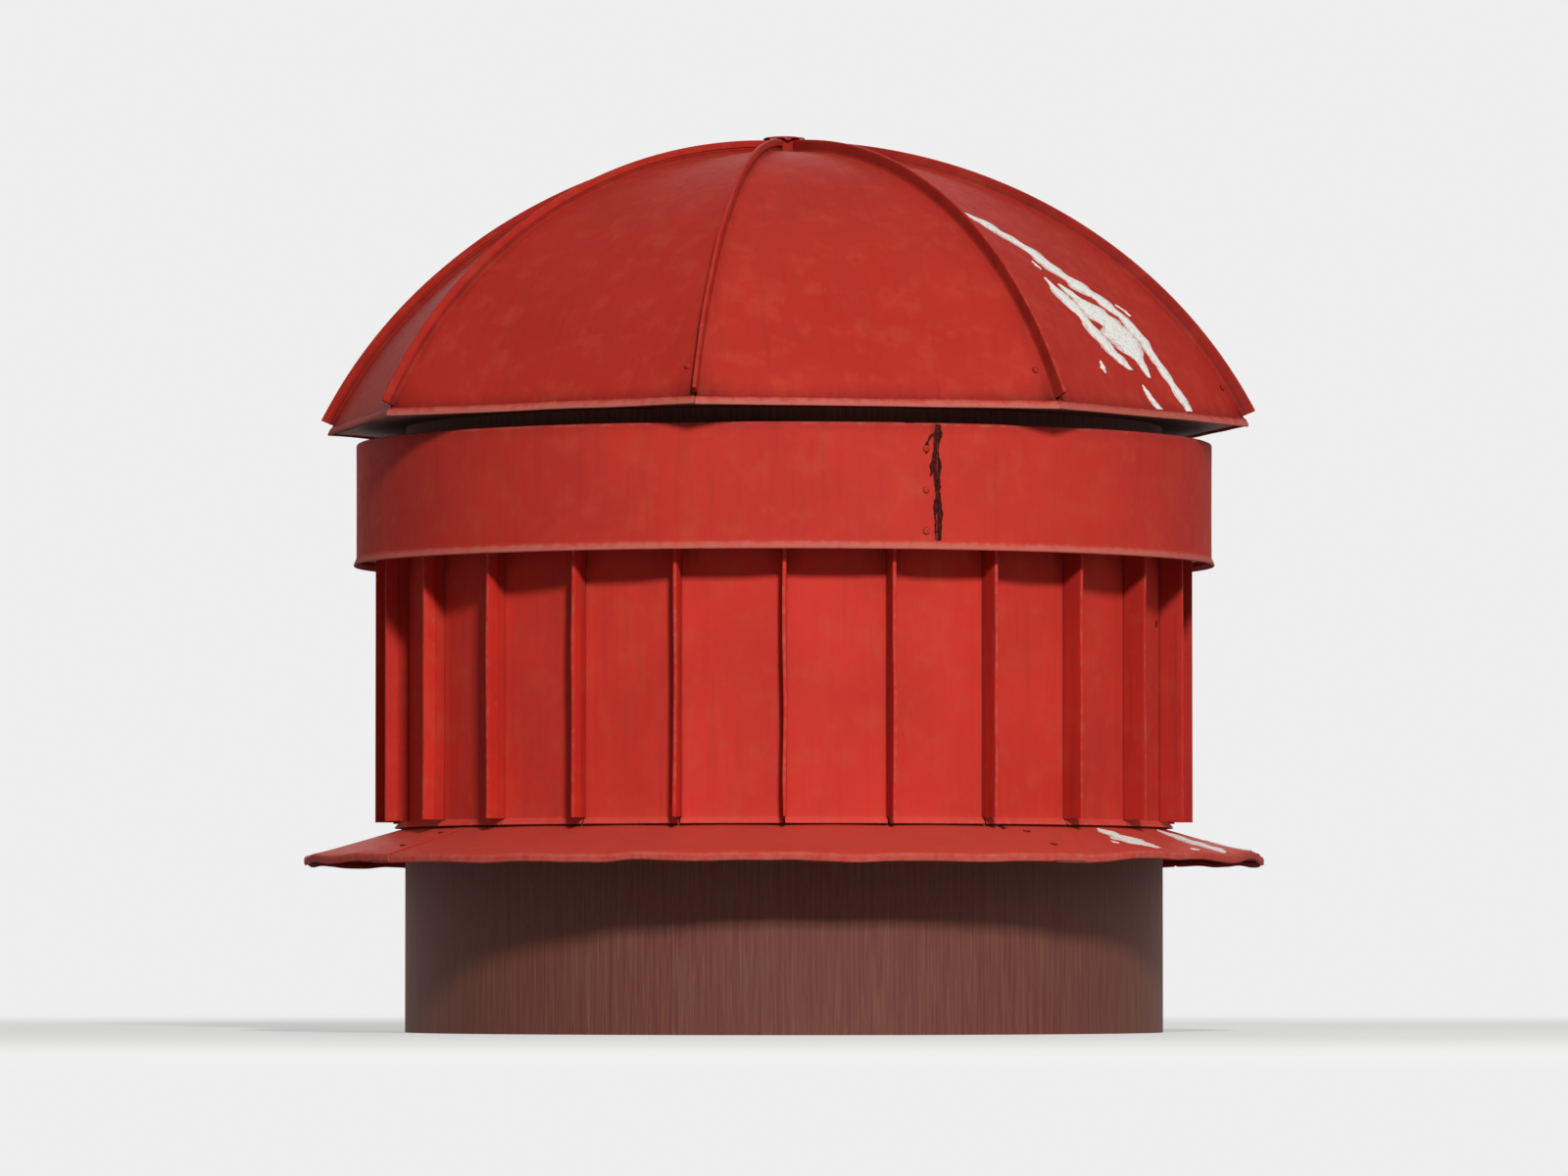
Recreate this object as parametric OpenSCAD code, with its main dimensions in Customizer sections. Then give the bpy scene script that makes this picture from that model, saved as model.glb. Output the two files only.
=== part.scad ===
// Round garage cupola in red standing seam sheet.
// A drum of narrow upright pans stands on a conical apron, under a plain band and an
// eight sided dome whose gores are bent only up and down and joined by seams on the hips.
// Millimetres, +Z up. The origin is the middle of the curb's flat underside.
// The front, which one drum seam faces squarely, looks along -Y.

/* [Drum] */
// Outer radius of the plywood drum wall
wall_r = 345; // [300:1:480]
// Thickness of the bent plywood drum wall
wall_t = 12; // [9:1:18]
// Depth of the curb, from its underside to the foot of the drum's sheet pans
curb_depth = 184; // [140:1:240]
// Height of the pans that shows between the apron and the band
pan_h = 240; // [150:1:360]
// Number of sheet pans around the drum
pan_count = 24; // [16:2:30]
// Height of the standing seams of the drum
drum_seam_h = 22; // [14:1:30]
// How far the lowest edge of a pan kicks out over the apron
pan_kick = 5; // [2:0.5:8]
// Height over which a pan's lowest edge kicks out
kick_h = 7; // [5:0.5:10]

/* [Sheet] */
// Thickness of the prepainted sheet
sheet_t = 1; // [0.8:0.1:1.2]
// Clearance between sheets that lap or fold over each other
lap_gap = 0.3; // [0.2:0.05:0.4]
// Height of a folded hem on a lower edge
hem_h = 7; // [5:0.5:10]
// How far a hem stands out from its sheet
hem_out = 3; // [2:0.5:5]

/* [Curb] */
// Height of the plywood curb ring inside the wall
ring_h = 38; // [24:1:60]
// Width of the curb ring, from the wall inward
ring_w = 49; // [40:1:70]
// Diameter of the bolt hole in each quarter of the curb ring
bolt_d = 11; // [6:0.5:14]
// Gap where boards, blocks or sheets butt end to end
joint_gap = 0.3; // [0.2:0.05:0.6]

/* [Apron] */
// How far the apron reaches out from the drum wall
apron_w = 92; // [60:1:110]
// Fall of the apron from the drum to its outer edge
apron_fall = 25; // [15:1:50]
// Height of the apron's upstand behind the pans
upstand_h = 45; // [30:1:60]
// Arc by which one apron sheet laps the next, in degrees
apron_lap = 4; // [2:0.5:6]
// Turn of the first apron joint from the front, in degrees
apron_turn = 33; // [0:1:60]

/* [Band] */
// Height of the plain band under the dome
band_h = 111; // [80:1:160]
// Distance between the drum's seams and the band around them
band_gap = 16.5; // [1:0.5:30]
// Depth by which the band's lower hem hangs below the blocking
band_drip = 8; // [4:1:14]
// Width of the lip that turns in over the blocking's top
band_lip = 12; // [6:1:20]
// Direction of the band's visible joint, in degrees to the right of the front
band_joint = 20; // [-45:1:45]
// Arc by which one band sheet laps the other, in degrees
band_lap = 3; // [2:0.5:6]

/* [Dome] */
// Height of the open shadow gap between the band and the dome's lowest edge
eave_gap = 13; // [10:1:40]
// How far the middle of each straight eave stands out from the band
eave_over = 2; // [1:0.5:40]
// Rise of the sheet dome from its eave to its apex
dome_rise = 248; // [180:1:320]
// Turn of the dome against the drum's front seam, in degrees
dome_turn = -10.5; // [-22.5:0.5:22.5]
// Height of the standing seams on the hips
hip_seam_h = 12; // [8:1:20]
// Distance from the axis to the sheet's cut edge at the apex
apex_hole_r = 14; // [12:1:20]

/* [Dome frame] */
// Height of the eave plate's underside over the lowest edge of the dome
plate_lift = 2; // [0:0.5:4]
// Thickness of the octagonal eave plate
plate_t = 12; // [9:1:18]
// Ledge by which the eave plate reaches in past the drum wall
plate_ledge = 8; // [4:1:20]
// Thickness of the plywood hip ribs
rib_t = 18; // [12:1:24]
// Depth of the hip ribs at the eave plate
rib_depth = 55; // [40:1:70]
// Distance from the axis to each flat of the octagonal hub
hub_r = 45; // [35:1:60]
// Height of the hub
hub_h = 60; // [50:1:80]

/* [Apex cap] */
// How far the cap's brim reaches past the hole at the apex
brim_w = 5; // [3:1:16]
// Height of the cap's middle over the seams
cap_h = 3; // [2:0.5:12]

/* [Hidden] */
sides = 8;
$fn = 96;
fine = 240;

pan_step = 360 / pan_count;
pan_ids = [for (i = [1:pan_count]) i];
gore_ids = [for (i = [1:sides]) i];
quarter_ids = [1, 2, 3, 4];
half_ids = [1, 2];

front = -90;
half_side = 180 / sides;

// How far a cutting shape runs past the face it cuts, in millimetres or degrees
cut = 1;

// Heights
foot_z = curb_depth;
band_z = foot_z + pan_h;
band_top = band_z + band_h;
hem_z = band_top + eave_gap;
eave_z = hem_z + hem_h;
apex_z = eave_z + dome_rise;
plate_z = hem_z + plate_lift;
plate_top = plate_z + plate_t;

// Radii of the drum's skins, each one clearance outside the last
upstand_r = wall_r + lap_gap;
pan_in = upstand_r + sheet_t + lap_gap;
pan_out = pan_in + sheet_t;
pan_corner = pan_out / cos(pan_step / 2);
seam_reach = pan_corner + drum_seam_h;
band_in = seam_reach + band_gap;
band_out = band_in + sheet_t;
eave_r = band_out + eave_over;
apron_in = upstand_r + sheet_t;
apron_r = wall_r + apron_w;
apron_slope = (apron_fall + sheet_t) / (apron_r - apron_in);
plate_inner_r = wall_r - wall_t - plate_ledge;

// The dome's face is one arc with its centre on the axis
dome_bend = (eave_r * eave_r + dome_rise * dome_rise) / (2 * dome_rise);
dome_c = apex_z - dome_bend;
under_bend = dome_bend - sheet_t - lap_gap;
seam_z = eave_z + 2 * sheet_t;
gore_w = 2 * (eave_r + 3 * hip_seam_h) * tan(half_side);

// The folded edges of a gore start a little inside its sheet, so that they join it
hem_set = 0.4 * sheet_t;
leg_foot = dome_bend - 1.1 * sheet_t;

// A seam is two upright legs with a little play, one folded over the other
seam_play = lap_gap / 2;
fold_y = seam_play + sheet_t + lap_gap;

// The step in a lapped sheet, in degrees, and the apron's lap, clear of the pans' feet
lap_step = 0.5;
lap_rise = lap_gap + sheet_t;
lap_in = pan_corner + pan_kick + 2 * sheet_t;

// Angle that takes half the play of a butt joint off one end
function joint_trim(r) = asin(joint_gap / 2 / r);

module ring_sector(r_in, r_out, h, from, to) {
    rotate(from)
        rotate_extrude(angle = to - from, $fn = fine)
            translate([r_in, 0])
                square([r_out - r_in, h]);
}

module curb_ring() {
    // Four sawn quarters, butted end to end inside the wall
    ring_out = wall_r - wall_t - joint_gap;
    ring_in = ring_out - ring_w;
    trim = joint_trim(ring_in);
    color("burlywood")
        for (i = quarter_ids)
            rotate(front + 45 + 90 * (i - 1))
                difference() {
                    ring_sector(ring_in, ring_out, ring_h, -45 + trim, 45 - trim);
                    translate([(ring_in + ring_out) / 2, 0, -cut])
                        cylinder(d = bolt_d, h = ring_h + 2 * cut);
                }
}

module drum_wall(i) {
    trim = joint_trim(wall_r);
    color("tan")
        rotate(front + 90 * (i - 1))
            ring_sector(wall_r - wall_t, wall_r, plate_z, -45 + trim, 45 - trim);
}

// Height of the apron's upper face at a radius
function apron_z(r) = foot_z + sheet_t - (r - apron_in) * apron_slope;

// Outline of the apron: upstand, bend, cone and turned down edge
function apron_outline() = [
    [upstand_r, foot_z + upstand_h],
    [apron_in, foot_z + upstand_h],
    [apron_in, apron_z(apron_in)],
    [apron_r, apron_z(apron_r)],
    [apron_r, apron_z(apron_r) - hem_h],
    [apron_r - sheet_t, apron_z(apron_r) - hem_h],
    [apron_r - sheet_t, apron_z(apron_r) - sheet_t],
    [upstand_r, apron_z(apron_in) - sheet_t]
];

// Outline of the doubled end of a sheet, on the cone and its edge
function lap_outline() = [
    [lap_in, apron_z(lap_in) - sheet_t / 2],
    [lap_in, apron_z(lap_in) + lap_rise],
    [apron_r + lap_rise, apron_z(apron_r) + lap_rise],
    [apron_r + lap_rise, apron_z(apron_r) - hem_h],
    [apron_r - sheet_t / 2, apron_z(apron_r) - hem_h],
    [apron_r - sheet_t / 2, apron_z(apron_r) - sheet_t / 2]
];

// Outline of the room that a lap leaves for the next sheet
function lap_room() = [
    [lap_in - cut, apron_z(lap_in) - 2 * sheet_t],
    [lap_in - cut, apron_z(lap_in - cut) + lap_gap],
    [apron_r + lap_gap, apron_z(apron_r) + lap_gap],
    [apron_r + lap_gap, apron_z(apron_r) - 2 * hem_h],
    [apron_r - hem_h, apron_z(apron_r) - 2 * hem_h]
];

module arc(from, to) {
    rotate(from)
        rotate_extrude(angle = to - from, $fn = fine)
            children();
}

module apron(i) {
    trim = joint_trim(wall_r);
    color("firebrick")
        rotate(front + apron_turn + 90 * (i - 1))
            union() {
                arc(trim, 90 - trim)
                    polygon(apron_outline());
                // The end steps up over the next sheet
                difference() {
                    arc(90 - trim - lap_step, 90 + apron_lap)
                        polygon(lap_outline());
                    arc(90 - trim - lap_step / 2, 90 + apron_lap + cut)
                        polygon(lap_room());
                }
            }
}

module drum_pan(i) {
    half = pan_step / 2;
    pan_top = band_z + band_drip - lap_gap;
    color("firebrick")
        rotate(front + pan_step * (i - 0.5))
            union() {
                // Flat web between two seams, with its lower edge kicked out
                intersection() {
                    rotate([90, 0, 0])
                        linear_extrude(height = 2 * pan_corner, center = true)
                            polygon(pan_outline(pan_top));
                    pan_wedge(half);
                }
                pan_leg(half, -1, seam_reach - sheet_t - lap_gap, pan_top);
                pan_leg(half, 1, seam_reach, pan_top);
                pan_fold(half, seam_reach, pan_top);
            }
}

// Upright section through a pan's web
function pan_outline(top) = [
    [pan_in, top],
    [pan_out, top],
    [pan_out, foot_z + kick_h],
    [pan_out + pan_kick, foot_z + sheet_t],
    [pan_out + pan_kick - sheet_t, foot_z + sheet_t],
    [pan_in, foot_z + kick_h - sheet_t / 2]
];

module pan_wedge(half) {
    // Everything between the two seam lines, less half the play in each seam
    shy = seam_play / cos(half);
    linear_extrude(height = eave_z)
        polygon([
            [seam_play / sin(half), 0],
            [2 * pan_corner, 2 * pan_corner * tan(half) - shy],
            [2 * pan_corner, -2 * pan_corner * tan(half) + shy]
        ]);
}

module pan_leg(half, side, reach, top) {
    // Upright leg of a seam; side is +1 on the left and -1 on the right
    y0 = side > 0 ? -seam_play - sheet_t : seam_play;
    rotate(side * half)
        translate([pan_in, y0, foot_z + kick_h])
            cube([reach - pan_in, sheet_t, top - foot_z - kick_h]);
}

module pan_fold(half, reach, top) {
    // The longer leg folds over the next pan's leg and halfway down its far side
    rotate(half) {
        translate([reach - sheet_t, -seam_play - sheet_t, foot_z + kick_h])
            cube([sheet_t, fold_y + seam_play + 2 * sheet_t, top - foot_z - kick_h]);
        translate([reach - drum_seam_h / 2, fold_y, foot_z + kick_h])
            cube([drum_seam_h / 2, sheet_t, top - foot_z - kick_h]);
    }
}

module band_blocking() {
    // Four sawn blocks form the ring that carries the band
    trim = joint_trim(wall_r);
    color("tan")
        for (i = quarter_ids)
            rotate(front + 45 + 90 * (i - 1))
                translate([0, 0, band_z + band_drip])
                    ring_sector(wall_r + joint_gap, band_in - lap_gap,
                        band_h - band_drip - sheet_t - lap_gap, -45 + trim, 45 - trim);
}

// Outline of the band: top lip, plain face and a hem that kicks out
function band_outline() = [
    [band_in - band_lip, band_top - sheet_t],
    [band_in - band_lip, band_top],
    [band_out, band_top],
    [band_out, band_z + hem_h],
    [band_out + hem_out, band_z + sheet_t],
    [band_out + hem_out - sheet_t, band_z],
    [band_in, band_z + hem_h - sheet_t],
    [band_in, band_top - sheet_t]
];

// Outline of the doubled end of a sheet on the band's face
function band_lap_outline() = [
    [band_out - sheet_t / 2, band_top],
    [band_out + lap_rise, band_top],
    [band_out + lap_rise, band_z + hem_h],
    [band_out + hem_out + lap_rise, band_z + sheet_t],
    [band_out + hem_out - sheet_t / 2, band_z + sheet_t],
    [band_out - sheet_t / 2, band_z + hem_h]
];

// Outline of the room that the lap leaves for the other sheet
function band_lap_room() = [
    [band_in, band_top + cut],
    [band_out + lap_gap, band_top + cut],
    [band_out + lap_gap, band_z + hem_h],
    [band_out + hem_out + lap_gap, band_z + sheet_t],
    [band_out + hem_out + lap_gap, band_z - cut],
    [band_in, band_z - cut]
];

module band(i) {
    trim = joint_trim(band_in);
    color("firebrick")
        rotate(front + band_joint - band_lap + 180 * (i - 1))
            union() {
                arc(trim, 180 - trim)
                    polygon(band_outline());
                // The end steps out over the other sheet
                difference() {
                    arc(180 - trim - lap_step, 180 + band_lap)
                        polygon(band_lap_outline());
                    arc(180 - trim - lap_step / 2, 180 + band_lap + cut)
                        polygon(band_lap_room());
                }
            }
}

module octagon_prism(apothem, h) {
    rotate(half_side)
        cylinder(r = apothem / cos(half_side), h = h, $fn = sides);
}

module eave_plate() {
    color("tan")
        rotate(front + dome_turn + half_side)
            translate([0, 0, plate_z])
                difference() {
                    octagon_prism(plate_edge(), plate_t);
                    translate([0, 0, -cut])
                        cylinder(r = plate_inner_r, h = plate_t + 2 * cut, $fn = fine);
                }
}

// The plate's upper edge just clears the inside of the gores
function plate_edge() = sqrt(pow(under_bend, 2) - pow(plate_top - dome_c, 2));

module bend_solid(r, w) {
    // A lying cylinder of the dome's bend, along one gore's width
    translate([0, 0, dome_c])
        rotate([90, 0, 0])
            cylinder(r = r, h = w, center = true, $fn = fine);
}

module hip_rib() {
    // One arched rib: bevelled by both gores above, one arc below
    hip_r = plate_edge() / cos(half_side);
    inner_r = hip_r - rib_depth;
    inner_top = hub_top - hub_h;
    inner_rise = inner_top - plate_top;
    inner_bend = (inner_r * inner_r + inner_rise * inner_rise) / (2 * inner_rise);
    difference() {
        intersection() {
            translate([hub_r, -rib_t / 2, plate_top])
                cube([2 * eave_r, rib_t, dome_rise + hem_h]);
            rotate(half_side) bend_solid(under_bend, 4 * eave_r);
            rotate(-half_side) bend_solid(under_bend, 4 * eave_r);
        }
        translate([0, rib_t, inner_top - inner_bend])
            rotate([90, 0, 0])
                cylinder(r = inner_bend, h = 2 * rib_t, $fn = fine);
    }
}

module hip_ribs() {
    color("tan")
        for (i = gore_ids)
            rotate(front + dome_turn + 360 / sides * i)
                hip_rib();
}

// The hub's upper corners clear the gores by one sheet
hub_top = dome_c + sqrt(pow(under_bend, 2) - pow(hub_r / cos(half_side), 2)) - sheet_t;

module dome_hub() {
    color("burlywood")
        rotate(front + dome_turn)
            translate([0, 0, hub_top - hub_h])
                octagon_prism(hub_r, hub_h);
}

module across_gore() {
    // Draws an upright section out to the width of the widest gore
    rotate([90, 0, 0])
        linear_extrude(height = gore_w, center = true)
            children();
}

module arc_band(r_in, r_out, foot) {
    // A band of the dome's arc, from the height of its foot up
    across_gore()
        intersection() {
            translate([0, dome_c])
                difference() {
                    circle(r = r_out, $fn = fine);
                    circle(r = r_in, $fn = fine);
                }
            translate([0, foot])
                square([2 * eave_r, 2 * dome_rise]);
        }
}

module gore_hem() {
    // The sheet's lower edge, kicked out and folded double
    across_gore()
        polygon([
            [eave_r - hem_set, eave_z + sheet_t],
            [eave_r + hem_out, hem_z + sheet_t],
            [eave_r + hem_out - sheet_t, hem_z],
            [eave_r - sheet_t, eave_z - sheet_t],
            [eave_r - hem_set - sheet_t, eave_z + sheet_t]
        ]);
}

module gore_wedge() {
    // The sector between two hips; the web ends inside the seam's legs
    shy = (seam_play + sheet_t / 2) / cos(half_side);
    linear_extrude(height = apex_z + hip_seam_h)
        polygon([
            [apex_hole_r, apex_hole_r * tan(half_side) - shy],
            [2 * eave_r, 2 * eave_r * tan(half_side) - shy],
            [2 * eave_r, -2 * eave_r * tan(half_side) + shy],
            [apex_hole_r, -apex_hole_r * tan(half_side) + shy]
        ]);
}

module hip_slab(side, y0, y1) {
    // A thin upright slab along one hip, from the apex cap outward
    rotate(side * half_side)
        translate([apex_hole_r + sheet_t, y0, hem_z])
            cube([2 * eave_r, y1 - y0, dome_rise + hem_h + 2 * hip_seam_h]);
}

module gore_web() {
    intersection() {
        union() {
            arc_band(dome_bend - sheet_t, dome_bend, eave_z);
            gore_hem();
        }
        gore_wedge();
    }
}

module under_seam() {
    // Plain leg that stands up along the right hip
    intersection() {
        arc_band(leg_foot, dome_bend + hip_seam_h - sheet_t - lap_gap, seam_z);
        hip_slab(-1, seam_play, seam_play + sheet_t);
    }
}

module over_seam() {
    // Longer leg on the left hip, folded over the next gore's leg and half down behind it
    difference() {
        intersection() {
            arc_band(leg_foot, dome_bend + hip_seam_h, seam_z);
            hip_slab(1, -seam_play - sheet_t, fold_y + sheet_t);
        }
        intersection() {
            bend_solid(dome_bend + hip_seam_h - sheet_t, gore_w + 2);
            hip_slab(1, -seam_play, fold_y);
        }
        intersection() {
            bend_solid(dome_bend + hip_seam_h / 2, gore_w + 2);
            hip_slab(1, seam_play, fold_y + 2 * sheet_t);
        }
    }
}

module dome_gore(i) {
    color("firebrick")
        rotate(front + dome_turn + 360 / sides * (i - 0.5))
            union() {
                gore_web();
                under_seam();
                over_seam();
            }
}

module apex_cap() {
    // A soldered button: its stem fills the hole and its brim covers the seam ends
    seam_top = apex_z + hip_seam_h;
    brim_r = apex_hole_r + brim_w;
    stem_r = apex_hole_r - lap_gap;
    color("firebrick")
        rotate_extrude()
            polygon([
                [0, hub_top + lap_gap],
                [stem_r, hub_top + lap_gap],
                [stem_r, seam_top + lap_gap],
                [brim_r, seam_top + lap_gap],
                [brim_r, seam_top + lap_gap + sheet_t],
                [0, seam_top + cap_h]
            ]);
}

curb_ring();
for (i = quarter_ids)
    drum_wall(i);
for (i = quarter_ids)
    apron(i);
for (i = pan_ids)
    drum_pan(i);
band_blocking();
for (i = half_ids)
    band(i);
eave_plate();
hip_ribs();
dome_hub();
for (i = gore_ids)
    dome_gore(i);
apex_cap();
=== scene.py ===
# Round roof cupola in red standing seam sheet on a plywood curb.
# Metres, +Z up. The front, which the camera sees square on, looks along -Y.
import math

import bmesh
import bpy
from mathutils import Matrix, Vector, noise


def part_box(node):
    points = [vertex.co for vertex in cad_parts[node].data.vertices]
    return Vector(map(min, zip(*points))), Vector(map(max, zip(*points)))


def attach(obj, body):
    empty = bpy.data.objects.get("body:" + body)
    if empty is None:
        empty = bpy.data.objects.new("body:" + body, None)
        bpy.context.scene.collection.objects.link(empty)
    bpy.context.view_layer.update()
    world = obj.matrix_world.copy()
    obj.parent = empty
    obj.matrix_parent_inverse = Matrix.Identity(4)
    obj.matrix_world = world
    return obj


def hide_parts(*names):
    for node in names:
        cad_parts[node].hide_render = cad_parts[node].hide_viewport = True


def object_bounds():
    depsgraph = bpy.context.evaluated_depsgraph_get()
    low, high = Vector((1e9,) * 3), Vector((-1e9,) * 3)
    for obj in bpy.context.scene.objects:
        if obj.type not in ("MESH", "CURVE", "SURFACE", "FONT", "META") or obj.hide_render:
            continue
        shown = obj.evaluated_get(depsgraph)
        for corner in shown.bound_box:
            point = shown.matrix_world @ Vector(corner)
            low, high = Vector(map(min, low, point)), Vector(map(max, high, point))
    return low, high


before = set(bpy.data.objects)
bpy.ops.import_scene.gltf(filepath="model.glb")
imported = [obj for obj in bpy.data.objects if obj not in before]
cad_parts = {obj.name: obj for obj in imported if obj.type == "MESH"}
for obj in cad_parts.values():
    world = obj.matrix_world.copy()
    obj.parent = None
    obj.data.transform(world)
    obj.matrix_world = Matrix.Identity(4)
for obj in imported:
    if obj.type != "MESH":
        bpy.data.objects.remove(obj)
cad_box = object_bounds()


# Curb ring and drum wall
# The ring is four sawn quarters of thick plywood, and 12 mm bending plywood is glued and screwed
# round it. The wall's outer face is brushed with red oxide primer against the damp behind the
# sheets; its inner face and the ring stay raw.

MM = 0.001
FRONT = -math.pi / 2
HIP_TURN = math.radians(-10.5)
HIP_STEP = math.tau / 8


def colour(code):
    """Linear RGBA of an sRGB hex code."""
    channels = [int(code[i:i + 2], 16) / 255 for i in (0, 2, 4)]
    linear = [c / 12.92 if c <= 0.04045 else ((c + 0.055) / 1.055) ** 2.4 for c in channels]
    return (*linear, 1.0)


def add(tree, kind, inputs=None, **settings):
    """Adds a node, sets it, links or fills its inputs, and returns its outputs that are in use."""
    made = tree.nodes.new(kind)
    for name, value in settings.items():
        setattr(made, name, value)
    for name, value in (inputs or {}).items():
        if isinstance(name, int):
            socket = made.inputs[name]
        else:
            socket = next(s for s in made.inputs if s.name == name and s.enabled)
        if isinstance(value, bpy.types.NodeSocket):
            tree.links.new(value, socket)
        else:
            socket.default_value = value
    return [s for s in made.outputs if s.enabled]


def new_material(name):
    """A named material, its tree and its shader's inputs."""
    material = bpy.data.materials.new(name)
    material.use_nodes = True
    return material, material.node_tree, material.node_tree.nodes["Principled BSDF"].inputs


def plywood(name, across, primed_from=None):
    """Fir plywood with its plies stacked along z, radius or hip, primed from a radius outward."""
    material, tree, shader = new_material(name)
    place = add(tree, "ShaderNodeTexCoord")[3]
    x, y, z = add(tree, "ShaderNodeSeparateXYZ", {"Vector": place})
    flat = add(tree, "ShaderNodeCombineXYZ", {"X": x, "Y": y})[0]
    radius = add(tree, "ShaderNodeVectorMath", {0: flat}, operation="LENGTH")[0]
    depth = {"z": z, "radius": radius, "hip": None}[across]
    if across == "hip":
        # Distance from the plane of the nearest hip, which a rib's plies lie along
        turn = add(tree, "ShaderNodeMath", {0: y, 1: x}, operation="ARCTAN2")[0]
        shift = HIP_STEP / 2 - FRONT - HIP_TURN
        turn = add(tree, "ShaderNodeMath", {0: turn, 1: shift}, operation="ADD")[0]
        turn = add(tree, "ShaderNodeMath", {0: turn, 1: HIP_STEP}, operation="FLOORED_MODULO")[0]
        turn = add(tree, "ShaderNodeMath", {0: turn, 1: HIP_STEP / 2}, operation="SUBTRACT")[0]
        turn = add(tree, "ShaderNodeMath", {0: turn}, operation="SINE")[0]
        depth = add(tree, "ShaderNodeMath", {0: turn, 1: radius}, operation="MULTIPLY")[0]
    # Plies 1.6 mm thick; every second one shows dark end grain, and a glue line parts them
    ply = add(tree, "ShaderNodeMath", {0: depth, 1: 1 / (1.6 * MM)}, operation="MULTIPLY")[0]
    ply = add(tree, "ShaderNodeMath", {0: ply, 1: 2.0}, operation="FLOORED_MODULO")[0]
    glue = add(tree, "ShaderNodeMath", {0: ply, 1: 1.0, 2: 0.12}, operation="COMPARE")[0]
    odd = add(tree, "ShaderNodeMath", {0: ply, 1: 1.0}, operation="GREATER_THAN")[0]
    # Grain lines about 2 mm apart run up the wall and across the flat boards
    stretch = (480, 480, 14) if across == "radius" else (30, 480, 480)
    mapped = add(tree, "ShaderNodeMapping", {"Vector": place, "Scale": stretch})[0]
    grain = add(tree, "ShaderNodeTexNoise", {
        "Vector": mapped, "Scale": 1.0, "Detail": 5.0, "Roughness": 0.6, "Distortion": 0.4})[0]
    ripe = add(tree, "ShaderNodeMapRange", {"Value": grain, "From Min": 0.3, "From Max": 0.7})[0]
    face = add(tree, "ShaderNodeMix", {
        "Factor": ripe, "A": colour("B98A58"), "B": colour("DDB988")}, data_type="RGBA")[0]
    # Patches some 110 mm across have greyed with age
    patch = add(tree, "ShaderNodeTexNoise", {"Vector": place, "Scale": 9.0, "Detail": 4.0})[0]
    age = add(tree, "ShaderNodeMapRange", {
        "Value": patch, "From Min": 0.4, "From Max": 0.75, "To Max": 0.55})[0]
    face = add(tree, "ShaderNodeMix", {
        "Factor": age, "A": face, "B": colour("8E7458")}, data_type="RGBA")[0]
    dark = add(tree, "ShaderNodeMath", {0: odd, 1: 0.35}, operation="MULTIPLY")[0]
    face = add(tree, "ShaderNodeMix", {
        "Factor": dark, "A": face, "B": colour("7A5432")}, data_type="RGBA")[0]
    line = add(tree, "ShaderNodeMath", {0: glue, 1: 0.5}, operation="MULTIPLY")[0]
    face = add(tree, "ShaderNodeMix", {
        "Factor": line, "A": face, "B": colour("4A2F1C")}, data_type="RGBA")[0]
    if primed_from is not None:
        # Matt red oxide, which brush strokes leave thinner along the grain
        cover = add(tree, "ShaderNodeMapRange", {
            "Value": radius, "From Min": primed_from - 0.6 * MM, "From Max": primed_from})[0]
        brush = add(tree, "ShaderNodeMapRange", {
            "Value": grain, "From Min": 0.35, "From Max": 0.75, "To Min": 1.0, "To Max": 0.82})[0]
        cover = add(tree, "ShaderNodeMath", {0: cover, 1: brush}, operation="MULTIPLY")[0]
        face = add(tree, "ShaderNodeMix", {
            "Factor": cover, "A": face, "B": colour("5A211A")}, data_type="RGBA")[0]
    rough = add(tree, "ShaderNodeMapRange", {"Value": grain, "To Min": 0.65, "To Max": 0.85})[0]
    bump = add(tree, "ShaderNodeBump", {"Height": grain, "Strength": 0.5, "Distance": 0.4 * MM})[0]
    tree.links.new(face, shader["Base Color"])
    tree.links.new(rough, shader["Roughness"])
    tree.links.new(bump, shader["Normal"])
    return material


def finish_nodes(material, *names):
    """Gives CAD nodes a material of their own."""
    for name in names:
        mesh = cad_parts[name].data
        mesh.materials.clear()
        mesh.materials.append(material)


wall_r = -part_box("drum_wall_1")[0].y
# Primer shows from this far inside the wall's outer face
primer_depth = 1.2 * MM
flat_ply = plywood("fir_plywood_flat", "z")
finish_nodes(flat_ply, "curb_ring")
bent_ply = plywood("bending_plywood", "radius", primed_from=wall_r - primer_depth)
finish_nodes(bent_ply, *(f"drum_wall_{i}" for i in range(1, 5)))


# Apron
# Four cone shaped sheets of prepainted steel, dressed down by hand, so that their outer edge waves
# a little. Each is turned up behind the drum's pans, folded down along its edge, and laps the next.

SHEET = 1.0 * MM
LAP_RISE = 1.3 * MM
END_GAP = 0.15 * MM
QUARTER = math.radians(90)
upstand = 45 * MM
folded_edge = 6 * MM
apron_edge_r = cad_box[1].x - SHEET / 2
# The middle of the upstand's sheet, which is 0.3 mm clear of the wall
apron_root_r = wall_r + 0.8 * MM
upstand_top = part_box("apron_1")[1].z
foot = upstand_top - upstand
apron_slope = (foot - folded_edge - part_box("apron_1")[0].z) / (apron_edge_r - apron_root_r)
apron_turn = math.radians(33)
apron_lap = math.radians(4)


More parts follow.
